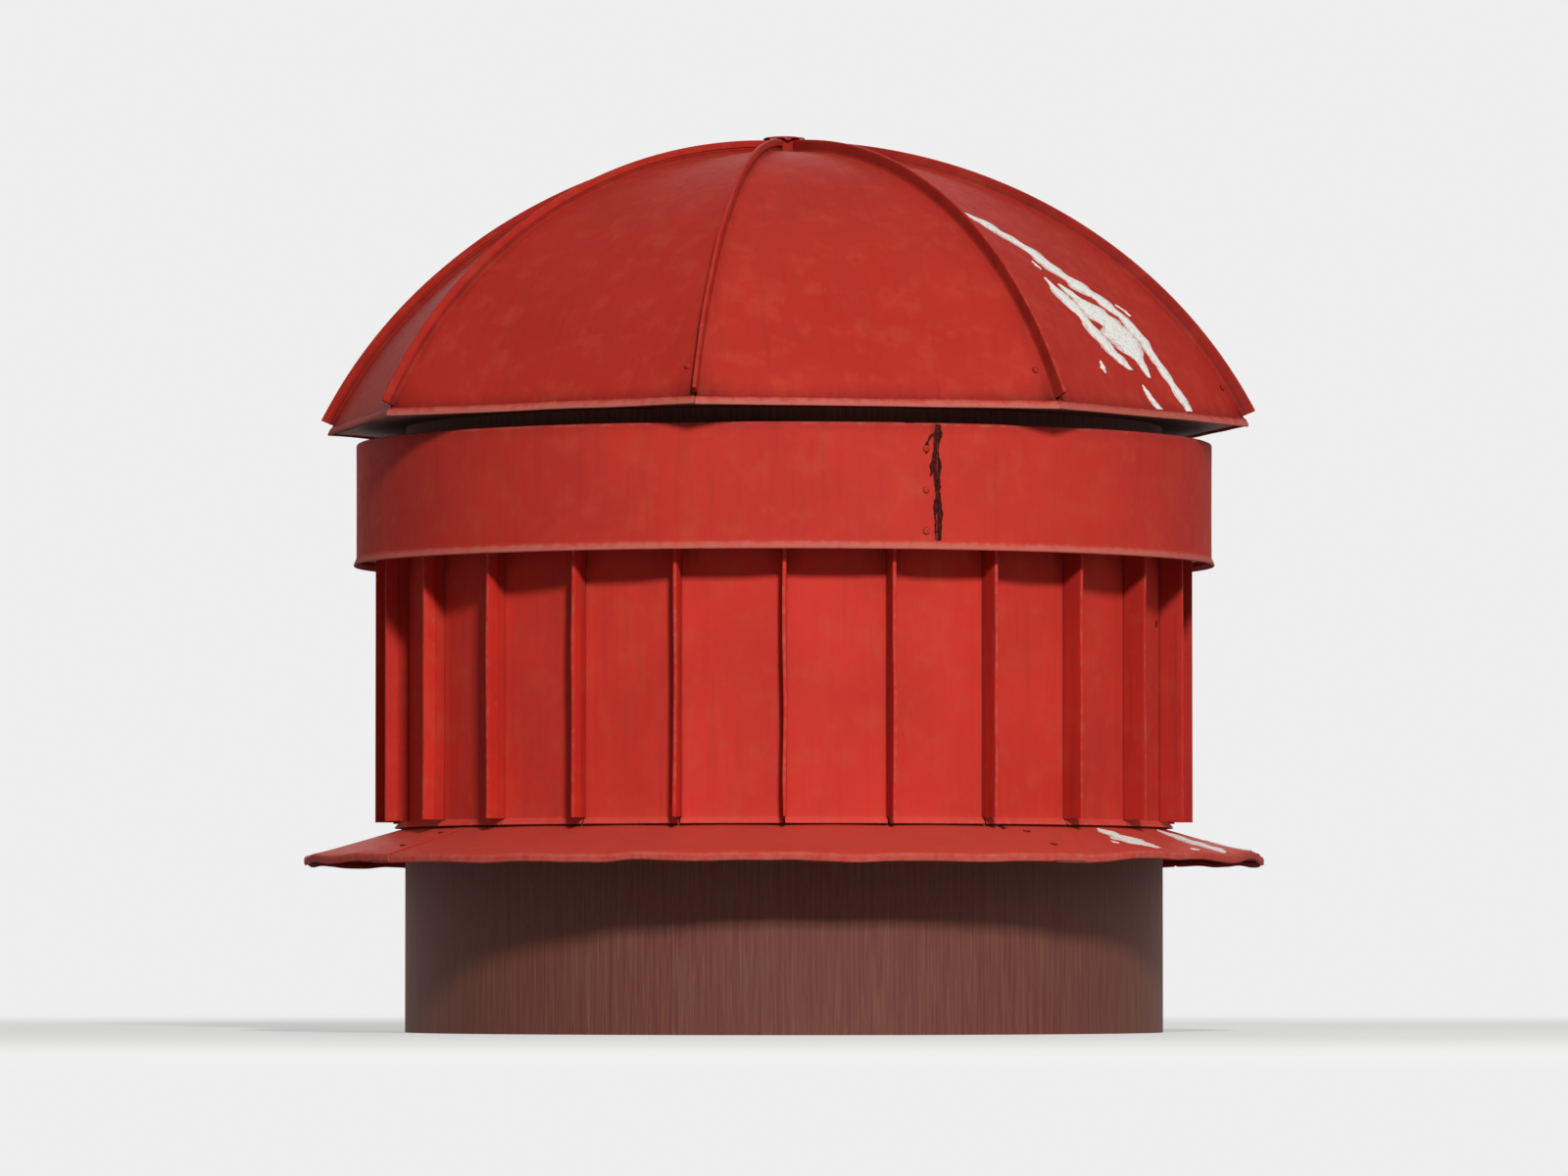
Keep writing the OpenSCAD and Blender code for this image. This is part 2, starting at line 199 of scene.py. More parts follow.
def prepainted_steel(name, paint_code, chalk_code):
    """Coil coated steel: a satin paint that has chalked nearly matt, worn to primer on folds."""
    material, tree, shader = new_material(name)
    place = add(tree, "ShaderNodeTexCoord")[3]
    # A sheet's points say which way water runs, and their wear, grime with painted shade, and fade
    flow = add(tree, "ShaderNodeAttribute", attribute_name="flow")[1]
    finish = add(tree, "ShaderNodeAttribute", attribute_name="finish")[0]
    wear, grime, fade = add(tree, "ShaderNodeSeparateColor", {"Color": finish})
    # Cloudy fading 90 mm across, blotches of 24 mm and a mottle of 9 mm
    cloud = add(tree, "ShaderNodeTexNoise", {
        "Vector": place, "Scale": 1 / (90 * MM), "Detail": 3.0, "Roughness": 0.5})[0]
    blotch = add(tree, "ShaderNodeTexNoise", {
        "Vector": place, "Scale": 1 / (24 * MM), "Detail": 4.0, "Roughness": 0.6})[0]
    mottle = add(tree, "ShaderNodeTexNoise", {
        "Vector": place, "Scale": 1 / (9 * MM), "Detail": 4.0, "Roughness": 0.65})[0]
    # Each sheet has aged a little in its own way
    own = add(tree, "ShaderNodeTexWhiteNoise", {
        "W": add(tree, "ShaderNodeSeparateXYZ", {"Vector": flow})[2]}, noise_dimensions="1D")[0]
    # Rain streaks 10 mm wide and 150 mm long run down each sheet
    mapped = add(tree, "ShaderNodeMapping", {
        "Vector": flow, "Scale": (1 / (10 * MM), 1 / (150 * MM), 1.0)})[0]
    streak = add(tree, "ShaderNodeTexNoise", {
        "Vector": mapped, "Scale": 1.0, "Detail": 4.0, "Roughness": 0.6})[0]
    tone = add(tree, "ShaderNodeMapRange", {
        "Value": cloud, "From Min": 0.35, "From Max": 0.65, "To Max": 0.2})[0]
    tone = add(tree, "ShaderNodeMath", {0: own, 1: 0.15, 2: tone}, operation="MULTIPLY_ADD")[0]
    paint = add(tree, "ShaderNodeMix", {
        "Factor": tone, "A": colour(paint_code), "B": colour("7E0F09")}, data_type="RGBA")[0]
    warm = add(tree, "ShaderNodeMapRange", {
        "Value": blotch, "From Min": 0.5, "From Max": 0.72, "To Max": 0.4})[0]
    paint = add(tree, "ShaderNodeMix", {
        "Factor": warm, "A": paint, "B": colour("B4442C")}, data_type="RGBA")[0]
    # Chalk: what faces up has faded, and rain has washed it into streaks
    up = add(tree, "ShaderNodeSeparateXYZ", {
        "Vector": add(tree, "ShaderNodeNewGeometry")[1]})[2]
    chalk = add(tree, "ShaderNodeMapRange", {
        "Value": up, "From Min": 0.1, "From Max": 1.0, "To Max": 0.25})[0]
    chalk = add(tree, "ShaderNodeMath", {0: chalk, 1: fade}, operation="ADD", use_clamp=True)[0]
    washed = add(tree, "ShaderNodeMapRange", {
        "Value": streak, "From Min": 0.3, "From Max": 0.7, "To Min": 0.55})[0]
    chalk = add(tree, "ShaderNodeMath", {0: chalk, 1: washed}, operation="MULTIPLY")[0]
    paint = add(tree, "ShaderNodeMix", {
        "Factor": chalk, "A": paint, "B": colour(chalk_code)}, data_type="RGBA")[0]
    thin = add(tree, "ShaderNodeMapRange", {
        "Value": streak, "From Min": 0.52, "From Max": 0.76, "To Max": 0.2})[0]
    paint = add(tree, "ShaderNodeMix", {
        "Factor": thin, "A": paint, "B": colour("6E0E09")}, data_type="RGBA")[0]
    # Grime on laps and under seams, and painted shade on the band's top, breaks up into streaks
    grime_and_shade = add(tree, "ShaderNodeMath", {0: streak, 1: grime, 2: grime}, operation="MULTIPLY_ADD")[0]
    grime_and_shade = add(tree, "ShaderNodeMapRange", {
        "Value": grime_and_shade, "From Min": 0.25, "From Max": 1.2, "To Max": 0.8})[0]
    paint = add(tree, "ShaderNodeMix", {
        "Factor": grime_and_shade, "A": paint, "B": colour("2E0B08")}, data_type="RGBA")[0]
    # Sparse dark specks of lichen and rust, 3 to 9 mm across, in one of three cells of 80 mm
    cell = add(tree, "ShaderNodeTexVoronoi", {"Vector": place, "Scale": 1 / (80 * MM)})
    pick, size, _ = add(tree, "ShaderNodeSeparateColor", {"Color": cell[1]})
    pick = add(tree, "ShaderNodeMath", {0: pick, 1: 0.33}, operation="LESS_THAN")[0]
    ragged = add(tree, "ShaderNodeMath", {
        0: mottle, 1: 0.05, 2: cell[0]}, operation="MULTIPLY_ADD")[0]
    ragged = add(tree, "ShaderNodeMath", {
        0: size, 1: -0.035, 2: ragged}, operation="MULTIPLY_ADD")[0]
    dot = add(tree, "ShaderNodeMapRange", {
        "Value": ragged, "From Min": 0.036, "From Max": 0.05, "To Min": 0.8, "To Max": 0.0})[0]
    dot = add(tree, "ShaderNodeMath", {0: dot, 1: pick}, operation="MULTIPLY")[0]
    paint = add(tree, "ShaderNodeMix", {
        "Factor": dot, "A": paint, "B": colour("3A120D")}, data_type="RGBA")[0]
    # Folds are worn to a dull pink primer, in patches
    bare = add(tree, "ShaderNodeMath", {0: mottle, 1: 1.2, 2: wear}, operation="MULTIPLY_ADD")[0]
    bare = add(tree, "ShaderNodeMapRange", {
        "Value": bare, "From Min": 0.9, "From Max": 1.45, "To Max": 0.85})[0]
    paint = add(tree, "ShaderNodeMix", {
        "Factor": bare, "A": paint, "B": colour("B26256")}, data_type="RGBA")[0]
    rough = add(tree, "ShaderNodeMapRange", {
        "Value": mottle, "From Min": 0.3, "From Max": 0.7, "To Min": 0.62, "To Max": 0.76})[0]
    rough = add(tree, "ShaderNodeMath", {0: bare, 1: 0.2, 2: rough}, operation="MULTIPLY_ADD")[0]
    # Orange peel, drawn 2.5 mm across, coarser than the real one, so that it shows
    peel = add(tree, "ShaderNodeTexNoise", {
        "Vector": place, "Scale": 1 / (2.5 * MM), "Detail": 2.0})[0]
    peel = add(tree, "ShaderNodeMath", {0: mottle, 1: 2.0, 2: peel}, operation="MULTIPLY_ADD")[0]
    bump = add(tree, "ShaderNodeBump", {"Height": peel, "Strength": 0.2, "Distance": 0.12 * MM})[0]
    tree.links.new(paint, shader["Base Color"])
    tree.links.new(rough, shader["Roughness"])
    tree.links.new(bump, shader["Normal"])
    shader["Specular IOR Level"].default_value = 0.09
    return material


apron_steel = prepainted_steel("prepainted_steel_apron", "BC3024", "BC4A3E")


def show(name, data):
    """A new object in the scene."""
    shown = bpy.data.objects.new(name, data)
    bpy.context.scene.collection.objects.link(shown)
    return shown


def place_piece(made, name, material, slot, *stands_for):
    """Turns a bmesh into a shown piece with crisp folds, riding on the cupola."""
    bmesh.ops.recalc_face_normals(made, faces=made.faces[:])
    mesh = bpy.data.meshes.new(name)
    made.to_mesh(mesh)
    made.free()
    mesh.shade_smooth()
    mesh.set_sharp_from_angle(angle=math.radians(34))
    mesh.materials.append(material)
    piece = show(name, mesh)
    if stands_for:
        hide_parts(*stands_for)
    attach(piece, "root")


def painted_mesh():
    """An empty bmesh with the two layers that the paint reads: its finish and its flow."""
    made = bmesh.new()
    finish = made.verts.layers.float_color.new("finish")
    return made, finish, made.verts.layers.float_vector.new("flow")


def join_rows(made, rows, closed=False):
    """Faces between rows of vertices; None leaves faces out, and closed rows run round."""
    for low, high in zip(rows, rows[1:]):
        for j in range(len(low) if closed else len(low) - 1):
            after = (j + 1) % len(low)
            corners = (low[j], low[after], high[after], high[j])
            if all(corners):
                made.faces.new(corners)


def sheet(name, material, rows, *stands_for):
    """A steel sheet from rows of (point, flow, finish) along its middle; None leaves it out."""
    made, finish, flow = painted_mesh()
    # Tells the sheets apart, but for five pairs of pans whose digits have the same sum
    seed = sum(ord(letter) for letter in name)
    grid = []
    for row in rows:
        line = []
        for entry in row:
            vert = None
            if entry:
                vert = made.verts.new(entry[0])
                vert[flow] = (*entry[1], seed)
                vert[finish] = (*entry[2], 1)
            line.append(vert)
        grid.append(line)
    join_rows(made, grid)
    for vert in [v for v in made.verts if not v.link_faces]:
        made.verts.remove(vert)
    made.normal_update()
    # Half the thickness goes to either side of the rows
    half = {vert: vert.normal * SHEET / 2 for vert in made.verts}
    for vert, step in half.items():
        vert.co += step
    bmesh.ops.solidify(made, geom=made.faces[:], thickness=SHEET)
    place_piece(made, name, material, "red_sheet", *stands_for)


def steps(start, end, count):
    """Evenly spaced values from start to end."""
    return [start + (end - start) * k / (count - 1) for k in range(count)]


def around(turn, radius, height):
    """A point at a turn to the right of the front."""
    return Vector((radius * math.cos(FRONT + turn), radius * math.sin(FRONT + turn), height))


def hump(away, width):
    """One smooth hump: 1 in its middle, and about a third a width away from it."""
    return math.exp(-(away / width) ** 2)


def stepped_up(past):
    """Share of a sheet's step up onto its neighbour, made in the half degree before their lap."""
    return min(1.0, max(0.0, past / math.radians(0.5) + 1))


def apron_face(turn, radius):
    """Height of the apron's middle surface, with its outer edge dressed down by hand."""
    stiff_r = apron_root_r + 30 * MM
    height = foot + SHEET / 2 - (radius - apron_root_r) * apron_slope
    reach = max(0.0, (radius - stiff_r) / (apron_edge_r - stiff_r))
    # Waves 15 degrees long, uneven rolls and small dents, and two places where the edge curls up
    wave = math.cos(24 * turn + 0.9 * noise.noise(Vector((math.cos(turn), math.sin(turn), 5.0))))
    roll = noise.noise(Vector((3.1 * math.cos(turn), 3.1 * math.sin(turn), 0.4)))
    dent = noise.noise(Vector((13 * math.cos(turn), 13 * math.sin(turn), 2.7)))
    curl = hump(math.degrees(turn) - 52, 9) + hump(math.degrees(turn) - 74, 6)
    lift = 0.8 * MM * wave + 1.6 * MM * roll + 1.2 * MM * dent + 3.0 * MM * curl
    return height + reach ** 2 * lift


def apron_rows(first, last):
    """One apron sheet: each row runs from behind the pans over the cone and round the edge."""
    turned_up = [(upstand_top, 0.0), (foot + 12 * MM, 0.2), (foot + 4 * MM, 0.5)]
    cone = steps(apron_root_r + 2.5 * MM, apron_edge_r - 2 * MM, 14)
    # Round the edge: (mm out, mm down, wear)
    edge = [(-0.5, 0.4, 0.5), (0, 1.6, 0.6), (0, 3.5, 0.5), (0, 5.6, 0.6), (-0.5, 6.3, 0.7),
            (-1.2, 6.0, 0.5), (-1.5, 2.8, 0.1)]
    # On the lap the sheet stops short of its neighbour's upstand
    lap_root_r = apron_root_r + 12 * MM
    rows = []
    for turn in steps(first, last, 140):
        over = stepped_up(turn - first - QUARTER)
        # Grime spreads about 5 mm from the sheet's start
        near_lap = hump(turn - first, 0.012)
        row = []
        for height, grime in turned_up:
            row.append(None if over > 0.5 else (
                around(turn, apron_root_r, height), (turn * apron_root_r, height), (0, grime, 0.2)))
        for radius in cone:
            height = apron_face(turn, radius) + over * LAP_RISE
            grime = 0.5 * math.exp(-(radius - apron_root_r) / (8 * MM)) + 0.4 * near_lap
            row.append(None if over > 0.5 and radius < lap_root_r else (
                around(turn, radius, height), (turn * radius, -radius), (0.05, grime, 0.4)))
        top = apron_face(turn, apron_edge_r) + over * LAP_RISE
        out = apron_edge_r + over * LAP_RISE
        for step_out, step_down, wear in edge:
            row.append((around(turn, out + step_out * MM, top - step_down * MM),
                        (turn * out, -out - step_down * MM), (wear, 0.1, 0.3)))
        rows.append(row)
    return rows


def apron_start(i):
    """The turn at which apron sheet i begins."""
    return apron_turn + QUARTER * (i - 1)


for i in range(1, 5):
    start = apron_start(i) + END_GAP / wall_r
    sheet(f"apron_sheet_{i}", apron_steel, apron_rows(start, start + QUARTER + apron_lap),
          f"apron_{i}")


# Drum pans
# Twenty four narrow pans of the same steel stand on end round the drum. Each has a plain leg on one
# side and a longer one on the other, folded over its neighbour's by hand, so the seams waver a
# little. The lower end kicks out over the apron.

PANS = 24
# Aside of a seam's middle: the two legs, the web's edge where a leg bends up, and its free edge
PLAY = 0.65 * MM
BEND_GAP = 2.1 * MM
FREE_GAP = 0.4 * MM
drum_steel = prepainted_steel("prepainted_steel_drum", "C42A1F", "CC5A4E")
pan_low, pan_high = (corner.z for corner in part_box("drum_pan_1"))
band_low, band_high = (corner.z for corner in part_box("band_1"))
# The middle of the pans' sheet, which clears the apron's upstand
pan_mid_r = wall_r + 2.1 * MM
pan_half = math.pi / PANS
drum_seam = 22.5 * MM
seam_reach = pan_mid_r / math.cos(pan_half) + drum_seam
seam_foot = pan_low + 6 * MM


def seam_waver(seam, height):
    """Sideways wander of a drum seam's free edge."""
    return 1.3 * MM * noise.noise(Vector((seam * 3.7, height * 14, 1.3)))


def pan_rows(i):
    """One drum pan: each row runs across it at one height, from its plain leg to its fold."""
    # Across the pan: ("web", share) or ("leg", side, reach, offset, wear, grime)
    across = [("leg", -1, reach, PLAY, 0.1, 0.3)
              for reach in steps(seam_reach - 1.8 * MM, pan_mid_r + 5 * MM, 5)]
    across.append(("leg", -1, pan_mid_r + 3.6 * MM, PLAY, 0, 0.5))
    across += [("web", share) for share in steps(-1.0, 1.0, 13)]
    across.append(("leg", 1, pan_mid_r + 3.6 * MM, -PLAY, 0, 0.7))
    across += [("leg", 1, reach, -PLAY, 0, 0.4)
               for reach in steps(pan_mid_r + 5 * MM, seam_reach - 1.4 * MM, 5)]
    # Round the fold: (mm aside of the seam's middle, mm below its top, wear)
    fold = [(-0.45, 0.7, 0.3), (0.1, 0.5, 0.4), (1.2, 0.5, 0.4), (1.75, 0.7, 0.3),
            (1.95, 1.4, 0.2), (1.95, 6, 0.1), (1.95, 11, 0.2)]
    across += [("leg", 1, seam_reach - drop * MM, offset * MM, wear, 0.1)
               for offset, drop, wear in fold]
    turn = pan_half * (2 * i - 1)
    forward, aside = around(turn, 1, 0), around(turn + math.pi / 2, 1, 0)
    # The kick at its foot: (mm up, mm out)
    kick = [(0.4, 4.6), (1.5, 4.1), (3.4, 2.4), (5, 0.9)]
    heights = [(pan_low + up * MM, out) for up, out in kick]
    heights += [(height, 0) for height in (seam_foot, *steps(seam_foot + 4 * MM, pan_high, 22))]
    rows = []
    for height, out in heights:
        # The foot is splashed and worn, and the pans darken just under the band
        low = math.exp(-(height - pan_low) / (7 * MM))
        high = math.exp((height - band_low) / (9 * MM)) if height < band_low else 1
        row = []
        for kind, side, *leg in across:
            if kind == "web":
                inset = BEND_GAP if height >= seam_foot else FREE_GAP
                across_at = (pan_mid_r * math.tan(pan_half) - inset) * side
                bow = (1 - side ** 4) * 1.3 * MM * noise.noise(
                    Vector((i * 5.3, height * 9, side * 1.5)))
                point = forward * (pan_mid_r + out * MM + bow) + aside * across_at
                paint = (0.35 * low, min(1, 0.25 * abs(side) ** 6 + 0.35 * high), 0.2 + 0.25 * low)
            elif height < seam_foot:
                row.append(None)
                continue
            else:
                reach, offset, wear, grime = leg
                rise = (reach - pan_mid_r) / (seam_reach - pan_mid_r)
                waver = seam_waver((i - (side < 0)) % PANS, height) * rise ** 2
                along = around(turn + side * pan_half, 1, 0)
                beside = around(turn + side * pan_half + math.pi / 2, 1, 0)
                point = along * reach + beside * (offset + waver)
                paint = (wear, grime, 0.08)
                across_at = side * (0.05 + reach)
            point.z = height
            row.append((point, (across_at, height), paint))
        rows.append(row)
    return rows


for i in range(1, PANS + 1):
    sheet(f"pan_{i}", drum_steel, pan_rows(i), f"drum_pan_{i}")


# Band and its blocking
# Four sawn fir blocks make the ring that carries the band. The band is two long sheets with a lip
# turned in over the blocking and a rolled hem that drips clear. Each sheet's end laps the other.

band_steel = prepainted_steel("prepainted_steel_band", "BC2C20", "C45850")
# How far the hem stands out from the middle of the band's sheet
hem_reach = 3.5 * MM
band_mid_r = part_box("band_1")[1].x - hem_reach
band_joint = math.radians(20)
band_lap = math.radians(3)


def fir_timber():
    """Sawn fir: growth rings about 10 mm apart across broad pale faces, fibres 1 mm apart."""
    material, tree, shader = new_material("sawn_fir")
    place = add(tree, "ShaderNodeTexCoord")[3]
    mapped = add(tree, "ShaderNodeMapping", {
        "Vector": place, "Rotation": (0.2, 0.1, 0.6), "Scale": (0.15, 1.0, 1.0)})[0]
    # The waves are pi / 10 times 25.2 mm long, and the turned grain stretches them by a fifth
    rings = add(tree, "ShaderNodeTexWave", {
        "Vector": mapped, "Scale": 1 / (25.2 * MM), "Distortion": 5.0, "Detail": 3.0,
        "Detail Scale": 0.6}, bands_direction="Y")[0]
    fibre = add(tree, "ShaderNodeMapping", {"Vector": place, "Scale": (60, 900, 900)})[0]
    fibre = add(tree, "ShaderNodeTexNoise", {"Vector": fibre, "Scale": 1.0, "Detail": 3.0})[0]
    wood = add(tree, "ShaderNodeMix", {
        "Factor": rings, "A": colour("D8B482"), "B": colour("A9753F")}, data_type="RGBA")[0]
    wood = add(tree, "ShaderNodeMix", {
        "Factor": add(tree, "ShaderNodeMath", {0: fibre, 1: 0.4}, operation="MULTIPLY")[0],
        "A": wood, "B": colour("6E4D2E")}, data_type="RGBA")[0]
    bump = add(tree, "ShaderNodeBump", {"Height": fibre, "Strength": 0.5, "Distance": 0.4 * MM})[0]
    tree.links.new(wood, shader["Base Color"])
    tree.links.new(bump, shader["Normal"])
    shader["Roughness"].default_value = 0.75
    return material


sawn_fir = fir_timber()
finish_nodes(sawn_fir, "band_blocking")


def band_radius(turn, height):
    """The band's middle surface, with the slight dents of hand bent sheet."""
    dent = noise.noise(Vector((4 * math.cos(turn), 4 * math.sin(turn), height * 7)))
    return band_mid_r + 0.8 * MM * dent


def band_rows(first, last):
    """One sheet of the band: each row runs from its lip down its face and round its hem."""
    # Across the lip, in mm inward from the face
    lip = (11.5, 8, 4, 1.6)
    lip_z = band_high - SHEET / 2
    # Down the face: (height, mm out, wear); round the hem: (mm above its foot, mm out, wear)
    face = [(lip_z - 0.5 * MM, -0.5, 0.3), (lip_z - 1.6 * MM, 0, 0.35)]
    face += [(height, 0, 0.0) for height in steps(band_high - 5 * MM, band_low + 9 * MM, 12)]
    hem = [(7, 0.1, 0.3), (5, 0.9, 0.65), (2.5, 2.1, 0.85), (1.1, 2.7, 0.9), (0.5, 2.4, 0.6),
           (0.9, 1.4, 0.3), (4.5, -0.7, 0.1)]
    face += [(band_low + up * MM, out, wear) for up, out, wear in hem]
    rows = []
    for turn in steps(first, last, 170):
        over = stepped_up(turn - first - math.pi)
        # Grime spreads about 4 mm from both ends
        near = hump(turn - first, 0.01) + hump(turn - last, 0.01)
        row = []
        for inward in lip:
            row.append(None if over > 0.5 else (
                around(turn, band_mid_r - inward * MM, lip_z), (turn * band_mid_r, 0),
                (0.1, 0.5, 0.3)))
        for height, out, wear in face:
            radius = band_radius(turn, height) + out * MM + over * LAP_RISE
            # Painted shade darkens the face below its top, under the eave; the ends gather grime
            top = math.exp((height - band_high) / (12 * MM))
            grime = min(1, 0.45 * near + 0.4 * top)
            row.append((around(turn, radius, height), (turn * band_mid_r, height),
                        (wear, grime, 0.16)))
        rows.append(row)
    return rows


for i in (1, 2):
    start = band_joint - band_lap + math.pi * (i - 1) + END_GAP / band_mid_r
    sheet(f"band_sheet_{i}", band_steel, band_rows(start, start + math.pi + band_lap), f"band_{i}")


# Sealant on the band's front joint
# Black butyl sealant, smeared by finger down the lapped edge. It has crept, dried in ragged lumps
# and run out sideways from under the lap near the top.


def butyl_sealant():
    """Old butyl: nearly black under a brown dust, dull, its skin wrinkled every 3 mm."""
    material, tree, shader = new_material("butyl_sealant")
    place = add(tree, "ShaderNodeTexCoord")[3]
    skin = add(tree, "ShaderNodeTexNoise", {
        "Vector": place, "Scale": 1 / (3 * MM), "Detail": 3.0, "Roughness": 0.6})[0]
    dust = add(tree, "ShaderNodeMapRange", {"Value": skin, "From Min": 0.4, "From Max": 0.7})[0]
    tone = add(tree, "ShaderNodeMix", {
        "Factor": dust, "A": colour("260806"), "B": colour("541A12")}, data_type="RGBA")[0]
    bump = add(tree, "ShaderNodeBump", {"Height": skin, "Strength": 0.6, "Distance": 0.6 * MM})[0]
    tree.links.new(tone, shader["Base Color"])
    tree.links.new(bump, shader["Normal"])
    shader["Roughness"].default_value = 0.8
    shader["Specular IOR Level"].default_value = 0.1
    return material


def dried_run(made, path, place, seed):
    """A thick run on a surface: path holds (along, aside, half width), place gives its points."""
    finish = made.verts.layers.float_color["finish"]
    stations = [path[0]]
    for start, end in zip(path, path[1:]):
        for share in steps(0, 1, 8)[1:]:
            stations.append([a + (b - a) * share for a, b in zip(start, end)])
    # Across the run: (share of its half width, mm off the surface); its rim sinks in a little
    swollen = [(-1, -0.3), (-0.8, 0.35), (-0.3, 0.7), (0.3, 0.7), (0.8, 0.35), (1, -0.3)]
    rows = []
    length, before = 0.0, place(*stations[0][:2], 0)
    for along, aside, half in stations:
        here = place(along, aside, 0)
        length, before = length + (here - before).length, here
        row = []
        for share, lift in swollen:
            # The rim swells over 14 mm and frays over 3 mm
            swell = 1 + 0.7 * noise.noise(Vector((length / (14 * MM), share, seed)))
            fray = 1.5 * MM * noise.noise(Vector((length / (3 * MM), share, seed)))
            reach = share * max(0.3 * MM, half * swell + fray)
            # Each later run lies a little over the earlier ones
            vert = made.verts.new(place(along, aside + reach, (lift + 0.01 * seed) * MM))
            vert[finish] = (abs(share), 0, 0, 1)
            row.append(vert)
        rows.append(row)
    join_rows(made, rows)


def on_band(height, aside, lift):
    """A point on the band, aside of the joint; the lapping end stands out to the left of it."""
    turn = band_joint + aside / band_mid_r
    lap = min(1.0, max(0.0, 0.5 - aside / MM)) * LAP_RISE
    return around(turn, band_radius(turn, height) + SHEET / 2 + lap + lift, height)


def run_piece(name, material, runs, place):
    """One shown piece from several runs on the same surface."""
    made = bmesh.new()
    made.verts.layers.float_color.new("finish")
    for seed, path in enumerate(runs):
        dried_run(made, path, place, seed * 7.3)
    place_piece(made, name, material, "red_sheet")


# Each bead: (mm below the band's top, mm aside of the joint, half width in mm)
beads = [
    [(1.5, 1, 2.8), (12, 0.5, 4.2), (26, -1, 3.8), (40, -0.5, 4.6), (54, 1, 3.0), (68, 0.5, 4.2),
     (80, 1.5, 4.6), (92, 1, 3.8), (103, 1.5, 3.0)],
    [(8, -1, 2.6), (12, -6, 2.4), (18, -9, 1.8), (27, -10, 0.6)],
    [(30, -1, 2.2), (37, -5, 1.8), (47, -6, 0.6)],
]
run_piece("joint_sealant", butyl_sealant(),
          [[(band_high - down * MM, aside * MM, half * MM) for down, aside, half in path]
           for path in beads], on_band)


# Dome frame
# An octagonal plywood plate on the drum wall carries eight arched plywood ribs, one under each hip,
# which meet at a hub. The plate's primer is dark red oxide, kept dark as painted shade in the slot.

# The plate's dark primer is partly painted shade for the slot under the eave
primed_ply_with_painted_shade = plywood("primed_plywood_and_painted_shade", "z", primed_from=0)
finish_nodes(primed_ply_with_painted_shade, "eave_plate")
hip_ply = plywood("fir_plywood_ribs", "hip")
finish_nodes(hip_ply, "hip_ribs")
finish_nodes(flat_ply, "dome_hub")


# Dome gores
# Eight gores of the same steel, each bent only up and down. Along the hips they are joined by low
# standing seams, folded one over the other, and along the eave they kick out and are hemmed.

dome_steel = prepainted_steel("prepainted_steel_dome", "A9251A", "AC4036")
gore_hem = 7 * MM
hip_seam = 12 * MM
apex_hole = 14 * MM
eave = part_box("dome_gore_1")[0].z + gore_hem
eave_r = band_mid_r + 2.5 * MM
cap_low, cap_high = (corner.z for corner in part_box("apex_cap"))
cap_brim_height = 3 * MM
rise = cap_high - cap_brim_height - hip_seam - eave
# The gores' one bend is an arc of this radius, with its centre at this height
bend_r = (eave_r ** 2 + rise ** 2) / (2 * rise)
bend_z = eave + rise - bend_r
gore_mid = bend_r - SHEET / 2
hip_half = HIP_STEP / 2
lowest_tilt = math.acos((eave - bend_z) / gore_mid)
highest_tilt = math.asin((apex_hole + 1.5 * MM) / gore_mid)


def gore_turn(i):
    """The direction that gore i faces."""
    return HIP_TURN + HIP_STEP * (i - 0.5)


def gore_buckle(i, tilt, share):
    """Oil canning: how far the free middle of a gore stands in or out."""
    slope = (tilt - highest_tilt) / (lowest_tilt - highest_tilt)
    swell = noise.noise(Vector((i * 4.1, tilt * 4.5, share * 1.1)))
    return (1 - share ** 4) * min(1, 4 * slope) * 1.6 * MM * swell


def gore_point(i, tilt, share, lift=0.0, inset=0.0):
    """A point of gore i: tilt from the axis, share of its half width, height above its middle."""
    out = (gore_mid + lift) * math.sin(tilt)
    half = out * math.tan(hip_half)
    half -= min(0.9 * half, inset)
    point = around(gore_turn(i), out, 0) + around(gore_turn(i) + math.pi / 2, half * share, 0)
    point.z = bend_z + (gore_mid + lift) * math.cos(tilt)
    return point


def hip_waver(hip, tilt, lift):
    """Sideways wander of a hip seam's free edge, which dies out towards the apex."""
    wander = noise.noise(Vector((hip * 3.3, tilt * 9, 0)))
    return 1.0 * MM * (lift / hip_seam) ** 2 * wander * min(1, 6 * tilt)


